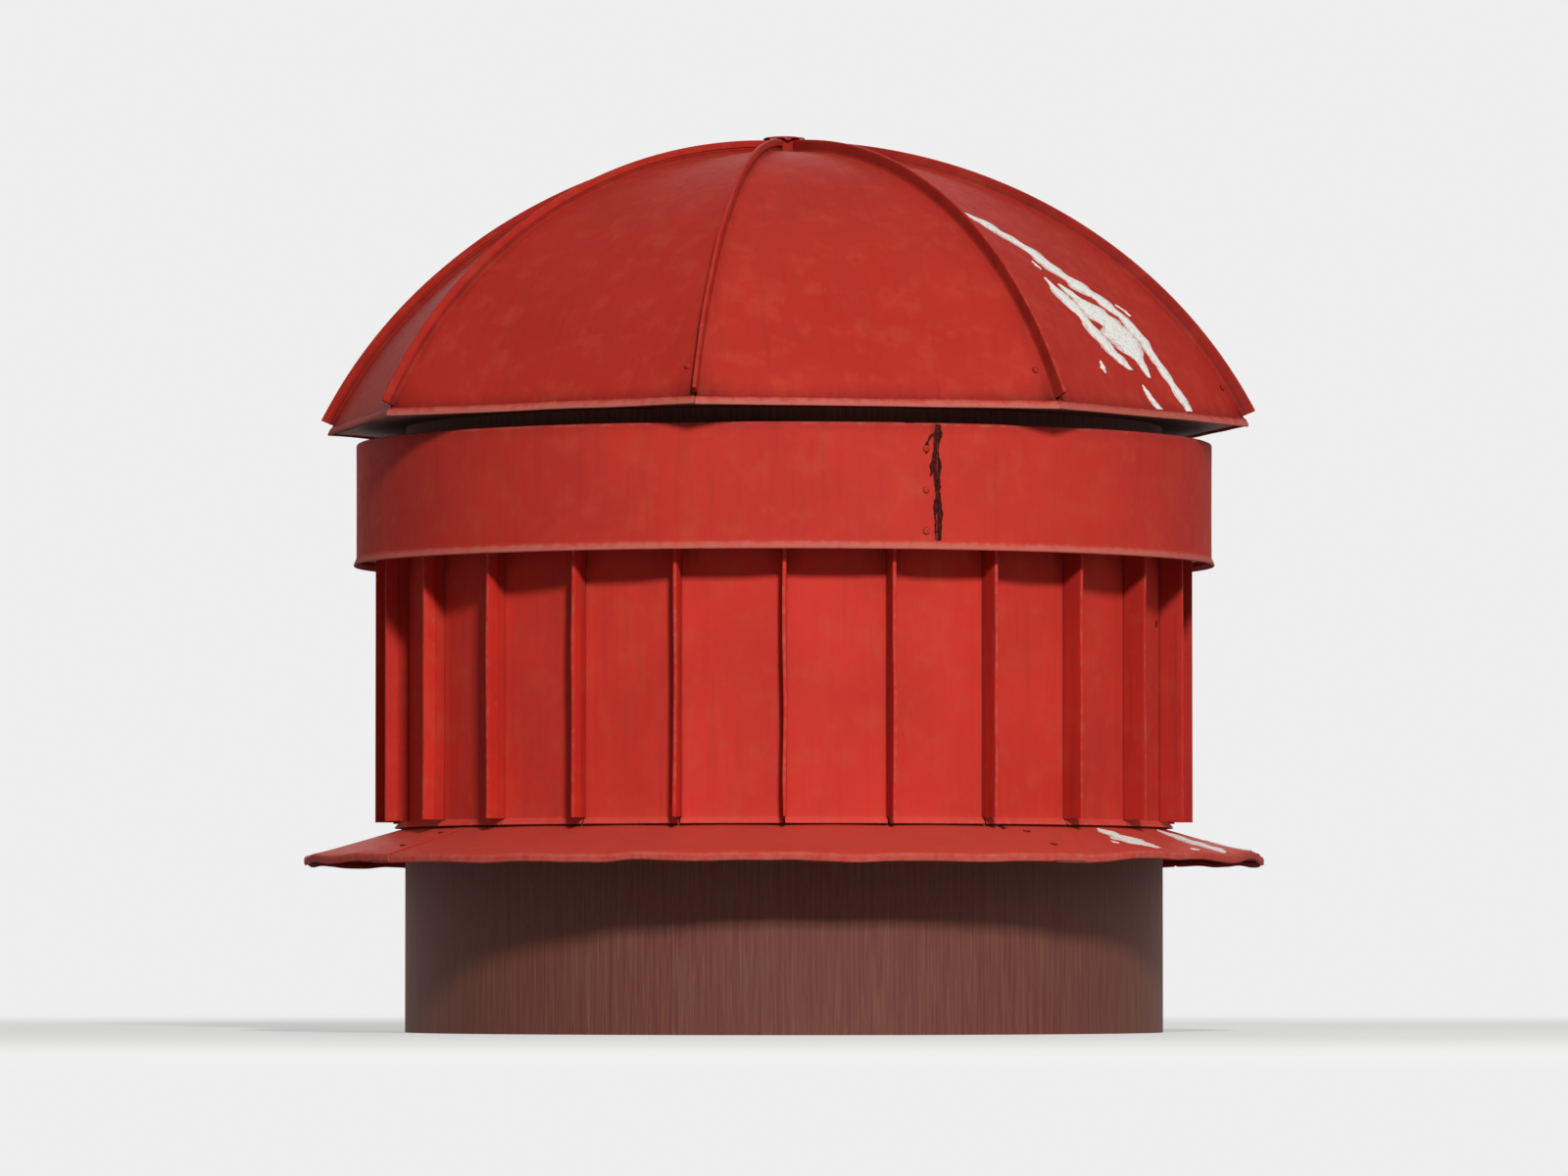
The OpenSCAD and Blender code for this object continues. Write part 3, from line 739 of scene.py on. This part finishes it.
def gore_rows(i):
    """One gore: each row runs across it at one height, first round the hem and then up the arc."""
    # Across the gore: ("web", share) or ("leg", side, lift, offset, wear, grime)
    across = [("leg", -1, lift, PLAY, 0.1, 0.2) for lift in steps(hip_seam - 1.8 * MM, 5 * MM, 3)]
    across.append(("leg", -1, 3.2 * MM, PLAY, 0, 0.6))
    across += [("web", share) for share in steps(-1, 1, 21)]
    across.append(("leg", 1, 3.2 * MM, -PLAY, 0, 0.6))
    across += [("leg", 1, lift, -PLAY, 0.05, 0.45)
               for lift in steps(5 * MM, hip_seam - 1.9 * MM, 3)]
    # Round the fold: (mm aside of the seam's middle, mm below its top, wear)
    fold = [(-0.45, 1.2, 0.2), (0.1, 1.0, 0.3), (1.2, 1.0, 0.3), (1.75, 1.2, 0.2),
            (1.95, 1.9, 0.15), (1.95, 6.5, 0.1)]
    across += [("leg", 1, hip_seam - drop * MM, offset * MM, wear, 0.2)
               for offset, drop, wear in fold]
    # Round the hem, which has no legs: (mm out, mm up from the eave, wear)
    hem = [(1.1, -2.2, 0.1), (2.0, -5.2, 0.3), (2.6, -6.3, 0.6), (3.2, -6.1, 0.9), (3.1, -5.0, 0.9),
           (2.1, -2.8, 0.75), (0.9, -0.6, 0.4)]
    rows = []
    for out, up, wear in hem:
        reach = eave_r - SHEET / 2 + out * MM
        row = []
        for kind, side, *_ in across:
            if kind == "leg":
                row.append(None)
                continue
            sag = 0.9 * MM * noise.noise(Vector((i * 2.9, side * 2.2, 0.6)))
            point = around(gore_turn(i), reach, eave + up * MM + sag) + around(
                gore_turn(i) + math.pi / 2, side * (reach * math.tan(hip_half) - FREE_GAP), 0)
            row.append((point, (side * 0.16, 0.5 + up * MM), (wear, 0.1, 0.2)))
        rows.append(row)
    # The seams begin 2.5 mm above the eave
    seam_low = math.acos((eave + 2.5 * MM - bend_z) / gore_mid)
    for tilt in (lowest_tilt - 0.0005, seam_low, *steps(seam_low - 0.012, highest_tilt, 46)):
        # Grime and wear near the eave, and chalk towards the apex
        low = math.exp((tilt - lowest_tilt) * 40)
        climb = 1 - tilt / lowest_tilt
        row = []
        for kind, side, *leg in across:
            if kind == "web":
                inset = BEND_GAP if tilt <= seam_low else FREE_GAP
                point = gore_point(i, tilt, side, gore_buckle(i, tilt, side), inset)
                paint = (0.2 * low, 0.3 * abs(side) ** 10 + 0.5 * low, 0.12 + 0.03 * climb)
            elif tilt > seam_low:
                row.append(None)
                continue
            else:
                lift, offset, wear, grime = leg
                out = (gore_mid + lift) * math.sin(tilt)
                hip = gore_turn(i) + side * hip_half
                waver = hip_waver((i - (side < 0)) % 8, tilt, lift)
                point = around(hip, out / math.cos(hip_half), 0) + around(
                    hip + math.pi / 2, offset + waver, 0)
                point.z = bend_z + (gore_mid + lift) * math.cos(tilt)
                paint = (wear, grime, 0.15)
            row.append((point, (side * math.sin(tilt) * 0.18, -tilt * gore_mid), paint))
        rows.append(row)
    return rows


for i in range(1, 9):
    sheet(f"gore_{i}", dome_steel, gore_rows(i), f"dome_gore_{i}")


# Blind rivets
# Aluminium rivets with domed heads 6.5 mm across, touched up with the same red. One holds each gore
# near the foot of its right hand seam, three hold the band's front lap and two each apron lap.


def rivet_head(made, finish, point, outward):
    """Adds one domed head with the small pit that its mandrel leaves."""
    turned = outward.to_track_quat("Z", "Y")
    # From the rim to the pit: (radius, height, wear), in mm
    profile = [(3.3, -0.3, 0), (3.2, 0.4, 0.1), (2.7, 1.1, 0.25), (1.7, 1.6, 0.3),
               (1.0, 1.7, 0.3), (0.7, 1.35, 0), (0.2, 1.25, 0)]
    rings = []
    for radius, height, wear in profile:
        ring = []
        for turn in steps(0, math.tau, 15)[:-1]:
            local = Vector((radius * math.cos(turn), radius * math.sin(turn), height)) * MM
            vert = made.verts.new(point + turned @ local)
            vert[finish] = (wear, 0.8 if radius > 3 else 0.3, 0.1, 1)
            ring.append(vert)
        rings.append(ring)
    join_rows(made, rings, closed=True)
    made.faces.new(rings[-1])


def rivets(name, material, places):
    """One shown piece from the heads at several places, each with the way that it faces."""
    made, finish, _ = painted_mesh()
    for point, outward in places:
        rivet_head(made, finish, point, outward)
    place_piece(made, name, material, "red_sheet")


def on_gore(i, tilt, share, lift):
    """A point on gore i, above its outer face."""
    return gore_point(i, tilt, share, gore_buckle(i, tilt, share) + SHEET / 2 + lift)


# On a gore: the tilt from the axis, and the share of its half width
rivet_tilt = 1.056
rivet_share = 0.93
gore_places = []
for i in range(1, 9):
    here = on_gore(i, rivet_tilt, rivet_share, 0)
    gore_places.append((here, on_gore(i, rivet_tilt, rivet_share, 10 * MM) - here))
rivets("dome_rivets", dome_steel, gore_places)
# Up the band's joint, in mm from its foot
band_places = [(on_band(band_low + up * MM, -10 * MM, 0), around(band_joint, 1, 0))
               for up in (16, 52, 88)]
rivets("band_rivets", band_steel, band_places)


def on_apron(radius, aside, lift):
    """A point on the apron at an arc length, measured at its edge, to the right of the front."""
    turn = aside / apron_edge_r
    return around(turn, radius, apron_face(turn, radius) + SHEET / 2 + lift)


apron_places = []
for i in range(1, 5):
    lap_at = (apron_start(i) + apron_lap / 2) * apron_edge_r
    for radius in (apron_root_r + 26 * MM, apron_root_r + 66 * MM):
        apron_places.append((on_apron(radius, lap_at, LAP_RISE), Vector((0, 0, 1))))
rivets("apron_rivets", apron_steel, apron_places)


# Apex button
# A small spun button of the same steel, soldered down over the cut ends of the eight seams, with
# its brim dressed over them by hand.

cap_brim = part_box("apex_cap")[1].x


def apex_button():
    """A stem in the hole at the apex, and a domed brim over the ends of the seams."""
    made, finish, _ = painted_mesh()
    stem = apex_hole - 0.3 * MM
    under = cap_high - 2.7 * MM
    pole = 0.2 * MM
    profile = [(pole, cap_low), (stem, cap_low), (stem, under), (cap_brim - 0.8 * MM, under),
               (cap_brim, under + 0.3 * MM), (cap_brim, under + 0.9 * MM)]
    profile += [(cap_brim * math.cos(a), under + 1.0 * MM + 1.6 * MM * math.sin(a) ** 1.2)
                for a in steps(0.2, 1.5, 9)]
    profile.append((pole, cap_high - 0.05 * MM))
    rings = []
    for radius, height in profile:
        # Between the seams the brim is tapped down by up to 2.5 mm
        droop = max(0, (radius - stem) / (cap_brim - stem)) * 2.5 * MM
        worn = 0.45 if radius > 0.8 * cap_brim else 0.15
        ring = []
        for turn in steps(0, math.tau, 129)[:-1]:
            # From 8 degrees beside a seam it slopes down over the next 14
            aside = abs((turn - HIP_TURN + hip_half) % HIP_STEP - hip_half)
            between = min(1, max(0, (math.degrees(aside) - 8) / 14))
            between = between * between * (3 - 2 * between)
            vert = made.verts.new(around(turn, radius, height - droop * between))
            vert[finish] = (worn, 0.3, 0.2, 1)
            ring.append(vert)
        rings.append(ring)
    join_rows(made, rings, closed=True)
    made.faces.new(rings[0][::-1])
    made.faces.new(rings[-1])
    place_piece(made, "apex_button", dome_steel, "red_sheet", "apex_cap")


apex_button()


# Bird lime
# Dried gull droppings: a splash with long runs down the gore to the right of the front, and what
# fell from its eave onto the apron below. They are chalky, a millimetre thick and thin out at the
# rim.


def dried_lime():
    """Chalk white crust, dead matt, with grey grains 4 mm across; the red shows at its thin rim."""
    material, tree, shader = new_material("dried_bird_lime")
    place = add(tree, "ShaderNodeTexCoord")[3]
    rim = add(tree, "ShaderNodeSeparateColor", {
        "Color": add(tree, "ShaderNodeAttribute", attribute_name="finish")[0]})[0]
    grain = add(tree, "ShaderNodeTexNoise", {
        "Vector": place, "Scale": 1 / (4 * MM), "Detail": 4.0, "Roughness": 0.65})[0]
    grey = add(tree, "ShaderNodeMapRange", {
        "Value": grain, "From Min": 0.52, "From Max": 0.7, "To Max": 0.7})[0]
    crust = add(tree, "ShaderNodeMix", {
        "Factor": grey, "A": colour("E4E2DC"), "B": colour("A79F94")}, data_type="RGBA")[0]
    film = add(tree, "ShaderNodeMath", {0: grain, 1: 0.8, 2: rim}, operation="MULTIPLY_ADD")[0]
    film = add(tree, "ShaderNodeMapRange", {
        "Value": film, "From Min": 0.95, "From Max": 1.4, "To Max": 0.8})[0]
    crust = add(tree, "ShaderNodeMix", {
        "Factor": film, "A": crust, "B": colour("B5574C")}, data_type="RGBA")[0]
    bump = add(tree, "ShaderNodeBump", {"Height": grain, "Strength": 0.5, "Distance": 0.5 * MM})[0]
    tree.links.new(crust, shader["Base Color"])
    tree.links.new(bump, shader["Normal"])
    shader["Roughness"].default_value = 0.95
    return material


def on_right_gore(tilt, aside, lift):
    """A point on the second gore, aside of its middle line."""
    return on_gore(2, tilt, aside / (gore_mid * math.sin(tilt) * math.tan(hip_half)), lift)


lime = dried_lime()
# Each run down the gore: (tilt from the axis, mm aside of the middle line, half width in mm)
splash = [
    [(0.81, -34, 3), (0.835, -26, 10), (0.86, -15, 18), (0.885, -4, 25), (0.91, 4, 30),
     (0.94, 8, 32), (0.965, 9, 30), (0.985, 11, 22), (1.00, 16, 12), (1.03, 19, 7), (1.05, 20, 2)],
    [(0.795, -51, 3), (0.83, -47, 10), (0.87, -42, 12), (0.91, -37, 12), (0.96, -31, 12),
     (1.00, -21, 11), (1.035, -8, 5)],
    [(0.572, -66, 4), (0.60, -56, 11), (0.65, -44, 13), (0.71, -30, 13), (0.765, -19, 14),
     (0.80, -3, 15), (0.84, 19, 15), (0.89, 38, 13), (0.95, 45, 10), (1.00, 49, 9), (1.055, 54, 9),
     (1.10, 61, 8), (1.124, 65, 5)],
    [(1.07, 0, 1), (1.09, 3, 5), (1.11, 7, 6), (1.126, 12, 5)],
    [(0.855, 42, 1), (0.87, 51, 3.5), (0.885, 55, 1)],
    [(0.745, -47, 1), (0.757, -46, 3.5), (0.77, -44, 1)],
    [(1.02, -56, 1), (1.035, -57, 4), (1.05, -57, 1)],
]
run_piece("dome_lime", lime, [[(tilt, aside * MM, half * MM) for tilt, aside, half in path]
                              for path in splash], on_right_gore)
# Each splat on the apron: (mm from the axis, degrees right of the front, half width in mm)
fallen = [
    [(356, 51.6, 4), (366, 51.5, 16), (384, 51.4, 22), (402, 51.4, 21), (416, 51.5, 13),
     (425, 51.6, 4)],
    [(398, 46.4, 1), (402, 46.5, 5), (407, 46.6, 1)],
    [(356, 70.6, 4), (368, 70.0, 18), (386, 69.0, 25), (404, 68.0, 25), (419, 67.3, 17),
     (430, 67, 5)],
    [(424, 58.4, 2), (429, 58.5, 7), (434, 58.4, 2)],
    [(386, 80.6, 4), (398, 80.3, 15), (412, 80.0, 21), (426, 79.8, 16), (436, 79.7, 9)],
    [(424, 74.2, 2), (430, 74.3, 8), (436, 74.4, 5)],
]
run_piece("apron_lime", lime, [[(radius * MM, math.radians(turn) * apron_edge_r, half * MM)
                                for radius, turn, half in path] for path in fallen], on_apron)


# Floor, light and camera
# A plain pale floor that fades into the backdrop, under a small lamp high in front, a wide weak one
# on the right and a wide one behind. The camera stands where the photo was taken from: 8.5 m off
# and a little below the foot of the drum, looking up by under three degrees.

BACKDROP = 0.86
AMBIENT = 0.16
FLOOR_R = 14.0
LAMP_AIM = 0.45


def seen_directly(tree):
    """1 for the rays that show the backdrop itself: camera, glossy and transmission rays."""
    rays = add(tree, "ShaderNodeLightPath")
    camera_ray, glossy_ray, through_ray = rays[0], rays[3], rays[6]
    seen = add(tree, "ShaderNodeMath", {0: camera_ray, 1: glossy_ray}, operation="MAXIMUM")[0]
    return add(tree, "ShaderNodeMath", {0: seen, 1: through_ray}, operation="MAXIMUM")[0]


def studio_floor():
    """Matt pale paper; seen directly it is lit from within a little, so that it reads as white."""
    material, tree, shader = new_material("pale_studio_floor")
    seen = seen_directly(tree)
    paper = add(tree, "ShaderNodeMix", {
        "Factor": seen, "A": colour("9C9C9A"), "B": colour("DADAD8")}, data_type="RGBA")[0]
    tree.links.new(paper, shader["Base Color"])
    shader["Roughness"].default_value = 0.95
    shader["Specular IOR Level"].default_value = 0.1
    # Round the cupola the paper keeps its shadow; 3 m out it has faded into the backdrop
    place = add(tree, "ShaderNodeTexCoord")[3]
    reach = add(tree, "ShaderNodeVectorMath", {0: place}, operation="LENGTH")[0]
    fade = add(tree, "ShaderNodeMapRange", {
        "Value": reach, "From Min": 0.9, "From Max": 3.0, "To Min": 0.5, "To Max": 1.0},
        interpolation_type="SMOOTHSTEP")[0]
    fade = add(tree, "ShaderNodeMath", {0: fade, 1: seen}, operation="MULTIPLY")[0]
    glow = add(tree, "ShaderNodeEmission", {"Color": colour("FFFFFF"), "Strength": BACKDROP})[0]
    mixed = add(tree, "ShaderNodeMixShader", {
        0: fade, 1: tree.nodes["Principled BSDF"].outputs[0], 2: glow})[0]
    tree.links.new(mixed, tree.nodes["Material Output"].inputs["Surface"])
    return material


floor_mesh = bpy.data.meshes.new("floor")
rim = [around(turn, FLOOR_R, 0) for turn in steps(0, math.tau, 65)[:-1]]
floor_mesh.from_pydata(rim, [], [tuple(range(len(rim)))])
floor_mesh.materials.append(studio_floor())
floor = show("floor", floor_mesh)


def aim_at(shown, height):
    """Turns a lamp or the camera to a point on the cupola's axis."""
    aim = Vector((0, 0, height)) - shown.location
    shown.rotation_euler = aim.to_track_quat("-Z", "Y").to_euler()


def lamp(name, turn, height, distance, size, power):
    """A square lamp aimed at the middle of the cupola."""
    light = bpy.data.lights.new(name, "AREA")
    light.shape = "SQUARE"
    light.size = size
    light.energy = power
    shown = show(name, light)
    shown.location = around(math.radians(turn), distance, height)
    aim_at(shown, LAMP_AIM)


lamp("key_lamp", turn=9, height=2.9, distance=5.03, size=0.55, power=285)
lamp("side_lamp", turn=80, height=1.9, distance=4.8, size=2.5, power=22)
lamp("back_lamp", turn=182, height=2.2, distance=4.6, size=2.6, power=55)

# The world lights the cupola weakly; where it is seen directly it is the backdrop's white
world = bpy.data.worlds.new("studio")
world.use_nodes = True
bpy.context.scene.world = world
world_shader = world.node_tree.nodes["Background"].inputs
world_shader["Color"].default_value = colour("FFFFFF")
strength = add(world.node_tree, "ShaderNodeMapRange", {
    "Value": seen_directly(world.node_tree), "To Min": AMBIENT, "To Max": BACKDROP})[0]
world.node_tree.links.new(strength, world_shader["Strength"])

camera_distance = 8.54
camera_height = 0.065
camera_aim = 0.405
camera = show("camera", bpy.data.cameras.new("camera"))
camera.location = (0, -camera_distance, camera_height)
camera.data.lens = 215
camera.data.clip_end = 100
aim_at(camera, camera_aim)
bpy.context.scene.camera = camera
bpy.context.scene.view_settings.view_transform = "Standard"
